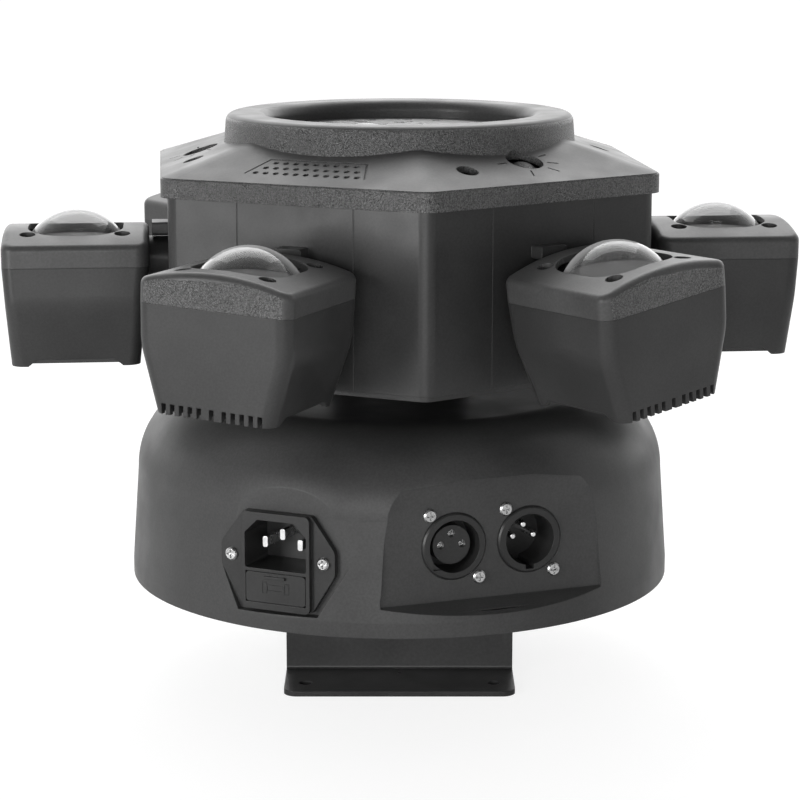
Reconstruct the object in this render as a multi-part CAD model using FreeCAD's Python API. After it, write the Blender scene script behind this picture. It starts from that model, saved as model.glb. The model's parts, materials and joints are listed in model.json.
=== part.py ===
import FreeCAD, Part
import math
import os
from FreeCAD import Vector as V

# Six-arm effect light. Millimetres, X right, Y to the back, Z up, origin on the turning axis at floor level.
# Pieces that face outward are drawn facing -Y (x across, -y outward) and then turned about Z.

# directions in degrees
sides = 6
side_step = 360 / sides
rest_turn = 5.4
face_turns = [rest_turn + side_step * (k - 0.5) for k in range(sides)]
arm_leads = [0, 2.2, 0, 0, 0, 0]
arm_turns = [face + lead for face, lead in zip(face_turns, arm_leads)]
arm_rolls = [-2.6, 7.7, 0, 0, 0, 0]
inlet_turn = -24
signal_turn = 20.75
panel_turn = 180
post_turns = [-62, 62, -108, 108, -148, 148]

# fits and shared small values
overrun = 12.0
running_fit = 0.05
seat_fit = 0.02
loose_fit = 0.15
free_gap = 0.3

# mounting bracket
sheet = 2.0
bracket_half_x = 44.0
bracket_web_y = 21.9
bracket_flange_y = 50.8
bracket_top = 40.0
bracket_bend = 3.0
bracket_bend_inside = 1.0
bracket_corner = 5.0
bracket_hole_r = 2.5
bracket_hole_x = 36.0
bracket_hole_y = 40.0
bracket_pin_r = 0.7
bracket_pin_y = 27.0
bracket_screw_x = 30.0
bracket_screw_y = 12.0
bracket_screw_r = 2.0

# base plate and base housing, sized from the rim of the base
rim_r = 104.4
base_wall = 2.5
plate_clearance = 0.4
plate_r = rim_r - base_wall - plate_clearance
plate_top = 42.0
rim_bottom = 39.0
rim_top = 44.6
shoulder_z = 81.0
shoulder_draft = 2.6
shoulder_r = rim_r - shoulder_draft
shoulder_arc = 30.0
boss_r = 33.0
boss_bottom = 101.0
bearing_z = 103.0
bearing_height = 7.0
bearing_r = 29.0
bearing_lip_r = 27.0
post_inset = 8.9
post_ring_r = rim_r - post_inset
post_r = 4.6
post_top = 100.0
post_screw_r = 1.5
post_screw_depth = 10.0

# signal facet
signal_recess = 10.8
signal_d = rim_r - signal_recess
signal_bottom = 50.0
signal_ledge_z = 46.5
signal_outline = [(-43.0, 50.0), (-40.3, 84.0), (-36.5, 91.5), (-14.0, 94.8), (14.0, 94.8), (36.5, 91.5),
                  (40.3, 84.0), (43.0, 50.0)]
signal_corners = [0, 6.0, 4.0, 9.0, 9.0, 4.0, 6.0, 0]
facet_fill_half = 50.0
facet_fill_top = 98.0
signal_pitch_half = 14.6
signal_z = 70.0
ring_r = 12.25
ring_hole_r = 12.4
ring_proud = 0.8
signal_flange_half_t = 13.0
signal_flange_half_z = 15.5
signal_flange_corner = 3.0
signal_flange = 2.0
signal_body_r = 11.0
signal_length = 23.6
signal_back = signal_d - signal_length
signal_screw_t = 9.5
signal_screw_z = 12.0
socket_insert_r = 7.2
socket_insert_recess = 2.5
socket_groove_r = 9.6
socket_groove_depth = 12.0
socket_hole_r = 1.35
socket_hole_depth = 11.0
contact_ring_r = 4.1
plug_cavity_r = 9.4
plug_depth = 15.0
plug_key_half = 1.6
plug_key_out = 1.5
pin_r = 1.2
pin_proud = 9.0
pin_root = 2.0
sleeve_r = 1.3
sleeve_bore_r = 0.9
sleeve_back = 8.0
sleeve_recess = 4.0
ring_edge = 0.6
latch_t = 8.2
latch_z = 8.2
latch_half = 1.5

# inlet facet
inlet_recess = 4.4
inlet_d = rim_r - inlet_recess
inlet_outline = [(-27.0, 63.0), (-27.0, 97.0), (25.5, 97.0), (25.5, 65.0), (14.0, 45.6), (-18.0, 45.0)]
inlet_fill_half = 28.5
inlet_t = -2.0
inlet_ear_t = 18.3
inlet_ear_r = 4.3
inlet_ear_z = 65.5
inlet_half = 13.5
inlet_bottom = 46.5
inlet_top = 82.2
inlet_flange = 2.4
inlet_block = 4.4
inlet_block_corner = 2.0
inlet_body_inset = 1.8
inlet_length = 20.0
inlet_back = inlet_d - inlet_length
cavity_half = 12.2
cavity_bottom = 61.6
cavity_top = 79.4
cavity_chamfer = 5.0
cavity_corner = 1.0
cavity_depth = 18.0
blade_half_t = 1.0
blade_half_z = 2.0
blade_pitch_half = 7.0
blade_z = 70.0
blade_middle_z = 73.3
blade_recess = 6.0
blade_root = 2.0
blade_corner = 0.7
drawer_half = 11.8
drawer_bottom = 49.2
drawer_top = 60.2
drawer_cap = 1.6
drawer_corner = 1.2
drawer_tray_half = 11.3
drawer_tray_bottom = 50.4
drawer_tray_top = 59.0
drawer_tray_depth = 12.6
drawer_floor = 1.2
drawer_wall = 1.0
drawer_front_wall = 1.6
drawer_gap = 0.2
drawer_tab_half = 4.0
drawer_tab = 1.0
fuse_r = 2.6
fuse_glass_r = 2.2
fuse_length = 20.0
fuse_cap_length = 5.0
fuse_sink = 8.2

# rear panel with window and buttons
panel_recess = 7.4
panel_d = rim_r - panel_recess
panel_outline = [(-33.0, 48.0), (-33.0, 92.0), (33.0, 92.0), (33.0, 48.0)]
panel_corner = 4.0
window_half_t = 22.0
window_bottom = 68.0
window_top = 87.0
window_corner = 1.5
window_thick = 1.2
window_seat = 2.0
button_ts = [-21.0, -7.0, 7.0, 21.0]
button_z = 57.5
button_r = 3.8
button_proud = 1.5
button_flange_r = 5.0
button_flange = 1.2
button_stem_r = 1.5
button_edge = 0.5
board_setback = 11.0
board_front = panel_d - board_setback
board_thick = 1.6
board_half = 33.0
board_bottom = 46.0
board_top = 91.0
board_post_t = 29.0
board_post_low = 50.0
board_post_high = 87.0
board_post_r = 3.0
switch_half = 3.0
switch_height = 2.2
switch_gap = 0.9
button_stem = board_setback - base_wall - button_flange - switch_height - switch_gap
display_gap = 0.6
display_height = board_setback - base_wall - display_gap
display_half_t = 21.0
display_bottom = 67.5
display_top = 83.0
board_chip_low = 52.0
board_chip_half = 7.0
board_chip = 2.0

# power supply
supply_inset = 20.4
supply_width = 48.0
supply_x0 = supply_inset - rim_r
supply_x1 = supply_x0 + supply_width
supply_y0 = -28.0
supply_y1 = 42.0
supply_leg = 5.0
supply_leg_r = 3.0
supply_leg_inset = 4.0
supply_coil_r = 9.0
supply_coil_inset = 26.0
supply_coil_x = supply_x0 + supply_coil_inset
supply_coil_y = 22.0
supply_coil_h = 22.0
supply_can_r = 8.0
supply_can_inset = 14.0
supply_can_x = supply_x0 + supply_can_inset
supply_can_y = -4.0
supply_can_h = 28.0
supply_sink_margin = 4.0
supply_sink_width = 12.0
supply_sink_x1 = supply_x1 - supply_sink_margin
supply_sink_x0 = supply_sink_x1 - supply_sink_width
supply_sink_y0 = -22.0
supply_sink_y1 = 34.0
supply_sink_h = 26.0
supply_fin = 2.0
supply_fin_pitch = 4.0

# pan drive
motor_inset = 42.4
motor_x = rim_r - motor_inset
motor_y = 10.0
motor_half = 21.0
motor_top = 82.0
motor_corner = 4.0
motor_cap = 8.0
motor_groove = 1.0
motor_shaft_r = 2.5
motor_shaft_top = 96.0
pulley_low = 84.5
pulley_high = 93.5
pulley_lip = 1.0
belt_thick = 1.4
belt_gap = 0.5
spindle_pulley_r = 28.0
motor_pulley_r = 9.6
pulley_lip_r = 2.6
pulley_hub_r = 25.0
spindle_r = 22.5
spindle_bore_r = 15.0
spindle_step_r = 24.6
neck_r = 27.0
neck_bottom = 111.6
race_in_r = 24.8
race_out_r = 26.7
race_sink = 0.6
slip_flange_r = 17.0
slip_flange = 3.0
slip_r = 12.0
slip_top = 79.0
slip_core_r = 6.0
slip_core_top = 98.0

# turning body
floor_z = 123.7
floor_thick = 2.0
floor_apothem = 87.05
floor_corner = 5.0
body_top = 190.8
body_apothem = 88.8
body_wall = 3.0
body_corner = 6.0
upright_r = 80.0
upright_thick = 2.0
upright_half = 19.0
upright_top = 182.0
axis_z = 162.2
hub_r = 8.0
lug_half = 5.5
lug_out = 6.0
lug_low = 171.0
lug_high = 176.0
lug_corner = 1.0
column_ring_r = 94.5
column_r = 5.0
column_screw_r = 1.5
panel_line_half = 23.0
panel_line = 0.3
panel_line_deep = 0.15
tilt_motor_half = 17.5
tilt_motor_back = 50.0
tilt_motor_corner = 3.0
tilt_boss_r = 11.0
tilt_boss = 1.8
tilt_shaft_back = 53.0
hub_back = 83.6

# top cover
lip_apothem = 91.3
lip_corner = 8.0
lip_top = 197.6
slope_start_apothem = 90.7
slope_start_z = 198.0
slope_share = 0.33
slope_end_apothem = 57.0
cover_wall = 2.6
cover_inner_apothem = 85.0
cover_inner_corner = 5.0
ring_outer_low = 67.4
ring_outer = 66.0
ring_foot_z = 200.0
ring_top = 216.7
ring_round = 3.0
ring_inner = 50.0
ring_inner_round = 4.0
ring_wall = 2.6
well_z = 210.0
window_r = 44.0
window_sink = 1.5
well_open_r = 41.0
board_r = 46.0
board_z = 199.0
stand_count = 4
board_stand_r = 43.5
board_stand = 2.0
lamp_count = 12
lamp_ring_r = 26.0
lamp_half = 2.5
lamp_height = 1.2
grille_columns = 11
grille_rows = 3
grille_t0 = -18.6
grille_pitch_t = 4.0
grille_n0 = 82.4
grille_pitch_n = 4.2
grille_r = 1.05
frame_t0 = -22.6
frame_t1 = 24.8
frame_slant = 4.6
frame_n0 = 71.4
frame_n1 = 83.4
engrave = 0.6
engrave_deep = 0.4
eye_spots = [(1, 3.5, 72.8), (5, 0.0, 75.9)]
eye_r = 6.9
ray_in = 8.6
ray_out = 13.0
ray_turns = [-176, -113, -52, -18, 16]
dot_spots = [None, (-25.3, 77.0), (-8.0, 76.0), None, (-25.3, 77.0), (25.0, 79.0)]
dot_r = 4.0

# heads, measured outward from the turning axis
head_in_top = 96.0
head_in_low = 100.0
head_out_top = 150.7
head_out_low = 148.2
head_half = 29.0
head_half_low = 22.6
head_bend_z = 147.5
head_bend_r = 30.0
head_low = 124.3
seam_above_axis = 0.1
head_seam = axis_z + seam_above_axis
head_corner = 5.0
head_wall = 2.0
foot_height = 0.8
head_floor_z = head_low + foot_height
head_floor = 2.0
foot_length = 8.0
foot_slope = 1.6
foot_notch = 2.7
foot_recess = 2.6
vents_each_side = 5
vent_pitch = 3.4
vent_half = 0.85
vent_height = 3.8
vent_gap = 4.8
crown_side_z = 170.3
crown_top_z = 174.7
crown_edge = 2.6
cover_hollow_side_z = 168.2
cover_hollow_top_z = 172.5
cover_hollow_edge = 1.2
head_mid = 123.5
lens_half = 17.9
lens_corner = 12.0
screw_t = 16.0
screw_d = 17.6
screw_boss_r = 4.6
screw_sink_r = 3.0
screw_seat_z = 170.0
screw_hole_r = 1.7
screw_post_r = 3.8
screw_pilot_r = 1.3
screw_pilot_depth = 12.0
tilt_boss_out = 101.0
tilt_flange_r = 9.8
tilt_flange = 2.4
tilt_seat_r = 12.0
sink_r = 17.0
sink_top = 154.0
sink_core_r = 11.0
sink_fin = 2.0
sink_fin_gap = 3.0
led_board_r = 17.0
led_board = 1.6
chip_half = 4.0
chip = 1.2
cup_r = 17.2
cup_top = 169.8
cup_mouth_r = 16.2
cup_throat_r = 5.6
lens_flange = 1.4
lens_cap_r = 17.6
lens_cap_rise = 9.7

# screws
screw_head = 1.4
screw_head_edge = 0.5
signal_head_r = 2.45
inlet_head_r = 2.35
plate_head_r = 3.2
shank_r = 1.4
shank_length = 6.0
cross_half = 0.35
cross_reach = 1.5
cross_deep = 0.9
nut_r = 3.6
nut_high = 3.0


def box(x0, x1, y0, y1, z0, z1):
    return Part.makeBox(x1 - x0, y1 - y0, z1 - z0, V(x0, y0, z0))


def rod(r, z0, z1, x=0, y=0):
    return Part.makeCylinder(r, z1 - z0, V(x, y, z0))


def bolt(r, d0, d1, t=0, z=0):
    # cylinder lying along the outward direction, from distance d0 to d1
    return Part.makeCylinder(r, d1 - d0, V(t, -d0, z), V(0, -1, 0))


def block(t0, t1, d0, d1, z0, z1):
    # box in outward coordinates
    return box(t0, t1, -d1, -d0, z0, z1)


def outline(points, radii=0):
    # closed wire with rounded corners in the XY plane
    count = len(points)
    if not isinstance(radii, list):
        radii = [radii] * count
    edges = []
    last = None
    first = None
    for i in range(count):
        c = V(points[i][0], points[i][1], 0)
        before = V(points[i - 1][0], points[i - 1][1], 0)
        after = V(points[(i + 1) % count][0], points[(i + 1) % count][1], 0)
        start = c
        end = c
        arc = None
        if radii[i] > 0:
            u = (before - c).normalize()
            w = (after - c).normalize()
            half = u.getAngle(w) / 2
            reach = radii[i] / math.tan(half)
            middle = (u + w).normalize()
            centre = c + middle * (radii[i] / math.sin(half))
            start = c + u * reach
            end = c + w * reach
            arc = Part.Arc(start, centre - middle * radii[i], end).toShape()
        if last is not None:
            edges.append(Part.makeLine(last, start))
        if first is None:
            first = start
        if arc is not None:
            edges.append(arc)
        last = end
    edges.append(Part.makeLine(last, first))
    return Part.Wire(edges)


def slab(points, radii, z0, z1):
    solid = Part.Face(outline(points, radii)).extrude(V(0, 0, z1 - z0))
    solid.translate(V(0, 0, z0))
    return solid


def facing(points, radii, d0, d1):
    # outline of (across, up) pushed outward from distance d0 to d1
    solid = slab(points, radii, d0, d1)
    solid.rotate(V(0, 0, 0), V(1, 0, 0), 90)
    return solid


def along(points, radii, t0, t1):
    # outline of (outward, up) run across from t0 to t1
    solid = slab([(-p[0], p[1]) for p in points], radii, t0, t1)
    solid.rotate(V(0, 0, 0), V(1, 0, 0), 90)
    solid.rotate(V(0, 0, 0), V(0, 0, 1), 90)
    return solid


def spin(points):
    # full turn of an (r, z) outline about the Z axis
    wire = Part.makePolygon([V(p[0], 0, p[1]) for p in points + points[:1]])
    return Part.Face(wire).revolve(V(0, 0, 0), V(0, 0, 1), 360)


def hexagon(apothem, corner, z):
    reach = apothem / math.cos(math.radians(side_step / 2))
    points = []
    for k in range(sides):
        a = math.radians(rest_turn + side_step * k)
        points.append((reach * math.sin(a), -reach * math.cos(a)))
    wire = outline(points, corner)
    wire.translate(V(0, 0, z))
    return wire


def hexagon_slab(apothem, corner, z0, z1):
    return Part.Face(hexagon(apothem, corner, z0)).extrude(V(0, 0, z1 - z0))


def turned(shape, angle):
    copy = shape.copy()
    copy.rotate(V(0, 0, 0), V(0, 0, 1), angle)
    return copy


def rolled(shape, angle):
    copy = shape.copy()
    copy.rotate(V(0, 0, axis_z), V(0, -1, 0), angle)
    return copy


def on_ring(r, angle):
    a = math.radians(angle)
    return (r * math.sin(a), -r * math.cos(a))


def joined(shapes):
    solid = shapes[0]
    if len(shapes) > 1:
        solid = solid.fuse(shapes[1:])
    return solid.removeSplitter()


def save(name, shape):
    shape.exportStep("parts/" + name + ".step")


def screw(head_r, shank, length):
    # head below the origin plane top at z = head height, shank going down; drawn upright
    body = spin([(0, -length), (shank, -length), (shank, 0), (head_r, 0),
                 (head_r, screw_head - screw_head_edge), (head_r - screw_head_edge, screw_head),
                 (0, screw_head)])
    low = screw_head - cross_deep
    body = body.cut(box(-cross_half, cross_half, -cross_reach, cross_reach, low, screw_head + overrun))
    return body.cut(box(-cross_reach, cross_reach, -cross_half, cross_half, low, screw_head + overrun))


def screw_out(head_r, t, z, d, length):
    # the same screw pointing outward, its head seated at distance d
    body = screw(head_r, shank_r, length)
    body.rotate(V(0, 0, 0), V(1, 0, 0), 90)
    body.translate(V(t, -d, z))
    return body


os.makedirs("parts", exist_ok=True)

# mounting bracket
inner_y = bracket_web_y - sheet
hat = [(-bracket_flange_y, 0), (-inner_y, 0), (-inner_y, bracket_top - sheet), (inner_y, bracket_top - sheet),
       (inner_y, 0), (bracket_flange_y, 0), (bracket_flange_y, sheet), (bracket_web_y, sheet),
       (bracket_web_y, bracket_top), (-bracket_web_y, bracket_top), (-bracket_web_y, sheet),
       (-bracket_flange_y, sheet)]
wide = bracket_bend
tight = bracket_bend_inside
bracket = along(hat, [0, wide, tight, tight, wide, 0, 0, tight, wide, wide, tight, 0],
                -bracket_half_x, bracket_half_x)
plan = [(-bracket_half_x, -bracket_flange_y), (bracket_half_x, -bracket_flange_y),
        (bracket_half_x, bracket_flange_y), (-bracket_half_x, bracket_flange_y)]
bracket = bracket.common(slab(plan, bracket_corner, -overrun, bracket_top + overrun))
plate = rod(plate_r, bracket_top, plate_top)
bracket_nuts = []
for sx in (-1, 1):
    for sy in (-1, 1):
        bracket = bracket.cut(rod(bracket_hole_r, -overrun, overrun, sx * bracket_hole_x, sy * bracket_hole_y))
        hole = rod(bracket_screw_r + loose_fit, bracket_top - overrun, plate_top + overrun,
                   sx * bracket_screw_x, sy * bracket_screw_y)
        bracket = bracket.cut(hole)
        plate = plate.cut(hole)
        under = screw(plate_head_r, bracket_screw_r, plate_top + nut_high + 2 * sheet - bracket_top)
        under.rotate(V(0, 0, 0), V(1, 0, 0), 180)
        under.translate(V(sx * bracket_screw_x, sy * bracket_screw_y, bracket_top - sheet))
        nut = slab([on_ring(nut_r, side_step * k) for k in range(sides)], 0, plate_top, plate_top + nut_high)
        nut.translate(V(sx * bracket_screw_x, sy * bracket_screw_y, 0))
        bracket_nuts.append(under.fuse(nut))
for sy in (-1, 1):
    bracket = bracket.cut(rod(bracket_pin_r, -overrun, overrun, 0, sy * bracket_pin_y))
save("mounting_bracket", bracket)


# base housing
def base_revolve(inset):
    edge = rim_r - inset
    side = shoulder_r - inset
    arc = shoulder_arc - inset
    centre = shoulder_r - shoulder_arc
    bend = arc * math.sqrt(0.5)
    low = rim_bottom if inset == 0 else rim_bottom - overrun
    points = [V(0, 0, low), V(edge, 0, low), V(edge, 0, rim_top), V(side, 0, shoulder_z)]
    edges = [Part.makeLine(points[i], points[i + 1]) for i in range(3)]
    edges.append(Part.Arc(V(side, 0, shoulder_z), V(centre + bend, 0, shoulder_z + bend),
                          V(centre, 0, shoulder_z + arc)).toShape())
    edges.append(Part.makeLine(V(centre, 0, shoulder_z + arc), V(0, 0, shoulder_z + arc)))
    edges.append(Part.makeLine(V(0, 0, shoulder_z + arc), V(0, 0, low)))
    return Part.Face(Part.Wire(edges)).revolve(V(0, 0, 0), V(0, 0, 1), 360)


outer = base_revolve(0)
hollow = base_revolve(base_wall)
housing_top = shoulder_z + shoulder_arc
bearing_top = bearing_z + bearing_height
facets = [(signal_turn, signal_d, facet_fill_half, signal_bottom - base_wall),
          (inlet_turn, inlet_d, inlet_fill_half, plate_top),
          (panel_turn, panel_d, facet_fill_half, panel_outline[0][1] - base_wall)]
fills = [rod(boss_r, boss_bottom, housing_top)]
for turn, d, half, low in facets:
    fills.append(turned(block(-half, half, d - base_wall, d + overrun, low, facet_fill_top), turn))
for angle in post_turns:
    x, y = on_ring(post_ring_r, angle)
    fills.append(rod(post_r, plate_top, post_top, x, y))
    plate = plate.cut(rod(post_screw_r + loose_fit, bracket_top - overrun, plate_top + overrun, x, y))
for t in (-board_post_t, board_post_t):
    for z in (board_post_low, board_post_high):
        fills.append(turned(bolt(board_post_r, board_front, panel_d - base_wall, t, z), panel_turn))
housing = joined([outer.cut(hollow)] + [shape.common(hollow) for shape in fills])
save("base_plate", plate)

# pockets of the three facets
far = rim_r + overrun
pocket = facing(signal_outline, signal_corners, signal_d, far)
ledge_run = rim_r - signal_d
ledge_drop = signal_bottom - signal_ledge_z
half_low = signal_outline[-1][0]
ledge = along([(signal_d, signal_bottom), (signal_d + 2 * ledge_run, signal_bottom - 2 * ledge_drop),
               (signal_d + 2 * ledge_run, signal_bottom), (signal_d + ledge_run, signal_bottom + ledge_drop),
               (signal_d, signal_bottom + ledge_drop)], 0, -half_low, half_low)
housing = housing.cut(turned(pocket.fuse(ledge), signal_turn))
housing = housing.cut(turned(facing(inlet_outline, 0, inlet_d, far), inlet_turn))
housing = housing.cut(turned(facing(panel_outline, panel_corner, panel_d, far), panel_turn))

# openings for the connectors, window and buttons
in_face = overrun + base_wall
cuts = []
for side in (-1, 1):
    t = side * signal_pitch_half
    cuts.append(turned(bolt(ring_hole_r, signal_d - in_face, signal_d + overrun, t, signal_z), signal_turn))
    for flip in (-1, 1):
        cuts.append(turned(bolt(shank_r + loose_fit, signal_d - in_face, signal_d + overrun,
                                t - flip * signal_screw_t, signal_z + flip * signal_screw_z), signal_turn))
inlet_cut = block(inlet_t - inlet_half - loose_fit, inlet_t + inlet_half + loose_fit, inlet_d - in_face,
                  inlet_d + overrun, inlet_bottom + inlet_body_inset - loose_fit,
                  inlet_top - inlet_body_inset + loose_fit)
cuts.append(turned(inlet_cut, inlet_turn))
for side in (-1, 1):
    cuts.append(turned(bolt(shank_r + loose_fit, inlet_d - in_face, inlet_d + overrun,
                            inlet_t + side * inlet_ear_t, inlet_ear_z), inlet_turn))
window_plan = [(-window_half_t, window_bottom), (-window_half_t, window_top), (window_half_t, window_top),
               (window_half_t, window_bottom)]
wider = [(p[0] + math.copysign(loose_fit, p[0]), p[1] + (loose_fit if p[1] == window_top else -loose_fit))
         for p in window_plan]
smaller = [(p[0] - math.copysign(window_seat, p[0]),
            p[1] - (window_seat if p[1] == window_top else -window_seat)) for p in window_plan]
cuts.append(turned(facing(wider, window_corner, panel_d - window_thick, panel_d + overrun), panel_turn))
cuts.append(turned(facing(smaller, window_corner, panel_d - in_face, panel_d + overrun), panel_turn))
for t in button_ts:
    hole = bolt(button_r + running_fit, panel_d - in_face, panel_d + overrun, t, button_z)
    cuts.append(turned(hole, panel_turn))
for angle in post_turns:
    x, y = on_ring(post_ring_r, angle)
    cuts.append(rod(post_screw_r + seat_fit, plate_top - overrun, plate_top + post_screw_depth, x, y))
cuts.append(rod(bearing_r + seat_fit, bearing_z, housing_top + overrun))
cuts.append(rod(bearing_lip_r, boss_bottom - overrun, housing_top))
housing = housing.cut(cuts)
save("base_housing", housing)

# power inlet with blade cavity and drawer slot
block_left = inlet_t - inlet_half
block_right = inlet_t + inlet_half
front = inlet_d + inlet_block
flange = facing([(block_left, inlet_bottom), (inlet_t - inlet_ear_t - inlet_ear_r, inlet_ear_z - inlet_ear_r),
                 (inlet_t - inlet_ear_t - inlet_ear_r, inlet_ear_z + inlet_ear_r), (block_left, inlet_top),
                 (block_right, inlet_top), (inlet_t + inlet_ear_t + inlet_ear_r, inlet_ear_z + inlet_ear_r),
                 (inlet_t + inlet_ear_t + inlet_ear_r, inlet_ear_z - inlet_ear_r), (block_right, inlet_bottom)],
                [inlet_block_corner, inlet_ear_r, inlet_ear_r, inlet_block_corner] * 2,
                inlet_d, inlet_d + inlet_flange)
raised = facing([(block_left, inlet_bottom), (block_left, inlet_top), (block_right, inlet_top),
                 (block_right, inlet_bottom)], inlet_block_corner, inlet_d, front)
behind = block(block_left, block_right, inlet_back, inlet_d + inlet_flange,
               inlet_bottom + inlet_body_inset, inlet_top - inlet_body_inset)
inlet = joined([flange, raised, behind])
cavity_left = inlet_t - cavity_half
cavity_right = inlet_t + cavity_half
inlet = inlet.cut(facing([(cavity_left, cavity_bottom), (cavity_left, cavity_top - cavity_chamfer),
                          (cavity_left + cavity_chamfer, cavity_top),
                          (cavity_right - cavity_chamfer, cavity_top),
                          (cavity_right, cavity_top - cavity_chamfer), (cavity_right, cavity_bottom)],
                         cavity_corner, front - cavity_depth, front + overrun))
inlet = inlet.cut(block(inlet_t - drawer_half - drawer_gap, inlet_t + drawer_half + drawer_gap,
                        front - drawer_cap, front + overrun, drawer_bottom - drawer_gap,
                        drawer_top + drawer_gap))
tray_back = front - drawer_cap - drawer_tray_depth
inlet = inlet.cut(block(inlet_t - drawer_tray_half - drawer_gap, inlet_t + drawer_tray_half + drawer_gap,
                        tray_back - drawer_gap, front + overrun, drawer_tray_bottom - drawer_gap,
                        drawer_tray_top + drawer_gap))
blade_spots = [(inlet_t - blade_pitch_half, blade_z), (inlet_t, blade_middle_z),
               (inlet_t + blade_pitch_half, blade_z)]
blade_back = front - cavity_depth - blade_root
contacts = []
for t, z in blade_spots:
    slot = [(t - blade_half_t - seat_fit, z - blade_half_z - seat_fit),
            (t - blade_half_t - seat_fit, z + blade_half_z + seat_fit),
            (t + blade_half_t + seat_fit, z + blade_half_z + seat_fit),
            (t + blade_half_t + seat_fit, z - blade_half_z - seat_fit)]
    inlet = inlet.cut(facing(slot, blade_corner, blade_back, front))
    flat = [(t - blade_half_t, z - blade_half_z), (t - blade_half_t, z + blade_half_z),
            (t + blade_half_t, z + blade_half_z), (t + blade_half_t, z - blade_half_z)]
    contacts.append(turned(facing(flat, blade_corner, blade_back, front - blade_recess), inlet_turn))
for side in (-1, 1):
    inlet = inlet.cut(bolt(shank_r + loose_fit, inlet_d - overrun, front + overrun,
                           inlet_t + side * inlet_ear_t, inlet_ear_z))
save("power_inlet", turned(inlet, inlet_turn))

# drawer and fuse
cap = facing([(inlet_t - drawer_half, drawer_bottom), (inlet_t - drawer_half, drawer_top),
              (inlet_t + drawer_half, drawer_top), (inlet_t + drawer_half, drawer_bottom)],
             drawer_corner, front - drawer_cap, front)
tray = block(inlet_t - drawer_tray_half, inlet_t + drawer_tray_half, tray_back, front - drawer_cap,
             drawer_tray_bottom, drawer_tray_top)
tray = tray.cut(block(inlet_t - drawer_tray_half + drawer_wall, inlet_t + drawer_tray_half - drawer_wall,
                      tray_back + drawer_wall, front - drawer_cap - drawer_front_wall,
                      drawer_tray_bottom + drawer_floor, drawer_tray_top + overrun))
tab = block(inlet_t - drawer_tab_half, inlet_t + drawer_tab_half, front, front + drawer_tab,
            drawer_top - 2 * drawer_tab, drawer_top - drawer_tab)
save("fuse_drawer", turned(joined([cap, tray, tab]), inlet_turn))
fuse_z = drawer_tray_bottom + drawer_floor + fuse_r
fuse = spin([(0, -fuse_length / 2), (fuse_r, -fuse_length / 2), (fuse_r, fuse_cap_length - fuse_length / 2),
             (fuse_glass_r, fuse_cap_length - fuse_length / 2), (fuse_glass_r, fuse_length / 2 - fuse_cap_length),
             (fuse_r, fuse_length / 2 - fuse_cap_length), (fuse_r, fuse_length / 2), (0, fuse_length / 2)])
fuse.rotate(V(0, 0, 0), V(0, 1, 0), 90)
fuse.translate(V(inlet_t, -(front - fuse_sink), fuse_z))
save("fuse", turned(fuse, inlet_turn))

# signal connectors
ring_front = signal_d + ring_proud
panel_back = signal_d - base_wall
fasteners = []
for side in (-1, 1):
    t = side * signal_pitch_half
    shell = joined([bolt(ring_r, panel_back, ring_front, t, signal_z),
                    facing([(t - signal_flange_half_t, signal_z - signal_flange_half_z),
                            (t - signal_flange_half_t, signal_z + signal_flange_half_z),
                            (t + signal_flange_half_t, signal_z + signal_flange_half_z),
                            (t + signal_flange_half_t, signal_z - signal_flange_half_z)],
                           signal_flange_corner, panel_back - signal_flange, panel_back),
                    bolt(signal_body_r, signal_back, panel_back, t, signal_z)])
    front_edges = [e for e in shell.Edges if abs(e.BoundBox.YMax + ring_front) < seat_fit
                   and abs(e.BoundBox.YMin + ring_front) < seat_fit]
    shell = shell.makeChamfer(ring_edge, front_edges)
    spots = [(t + contact_ring_r, signal_z), (t, signal_z + contact_ring_r), (t - contact_ring_r, signal_z)]
    if side < 0:
        groove = bolt(socket_groove_r, ring_front - socket_groove_depth, ring_front + overrun, t, signal_z)
        groove = groove.cut(bolt(socket_insert_r, 0, ring_front + 2 * overrun, t, signal_z))
        shell = shell.cut(groove)
        shell = shell.cut(bolt(socket_insert_r + seat_fit, signal_d - socket_insert_recess,
                               ring_front + overrun, t, signal_z))
        notch = block(t - latch_t, t - latch_t + 2 * latch_half, signal_d, ring_front + overrun,
                      signal_z - latch_z, signal_z - latch_z + 2 * latch_half)
        shell = shell.cut(notch)
        for x, z in spots:
            shell = shell.cut(bolt(socket_hole_r, signal_d - socket_hole_depth, ring_front + overrun, x, z))
            sleeve = bolt(sleeve_r, signal_d - socket_hole_depth, signal_d - sleeve_recess, x, z)
            sleeve = sleeve.cut(bolt(sleeve_bore_r, signal_d - sleeve_back, signal_d + overrun, x, z))
            contacts.append(turned(sleeve, signal_turn))
    else:
        floor = ring_front - plug_depth
        shell = shell.cut(bolt(plug_cavity_r, floor, ring_front + overrun, t, signal_z))
        shell = shell.cut(block(t - plug_key_half, t + plug_key_half, floor, ring_front + overrun,
                                signal_z - plug_cavity_r - plug_key_out, signal_z))
        for x, z in spots:
            shell = shell.cut(bolt(pin_r + seat_fit, floor - pin_root, ring_front + overrun, x, z))
            pin = bolt(pin_r, floor - pin_root, floor + pin_proud, x, z)
            tip = [e for e in pin.Edges if abs(e.BoundBox.YMin + floor + pin_proud) < seat_fit
                   and abs(e.BoundBox.YMax + floor + pin_proud) < seat_fit]
            contacts.append(turned(pin.makeFillet(pin_r / 2, tip), signal_turn))
    for flip in (-1, 1):
        x = t - flip * signal_screw_t
        z = signal_z + flip * signal_screw_z
        shell = shell.cut(bolt(shank_r + loose_fit, signal_back, panel_back + overrun, x, z).common(
            bolt(rim_r, panel_back - signal_flange - overrun, panel_back, 0, signal_z)))
        fasteners.append(turned(screw_out(signal_head_r, x, z, signal_d, shank_length), signal_turn))
    save("dmx_socket" if side < 0 else "dmx_plug", turned(shell, signal_turn))
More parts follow.
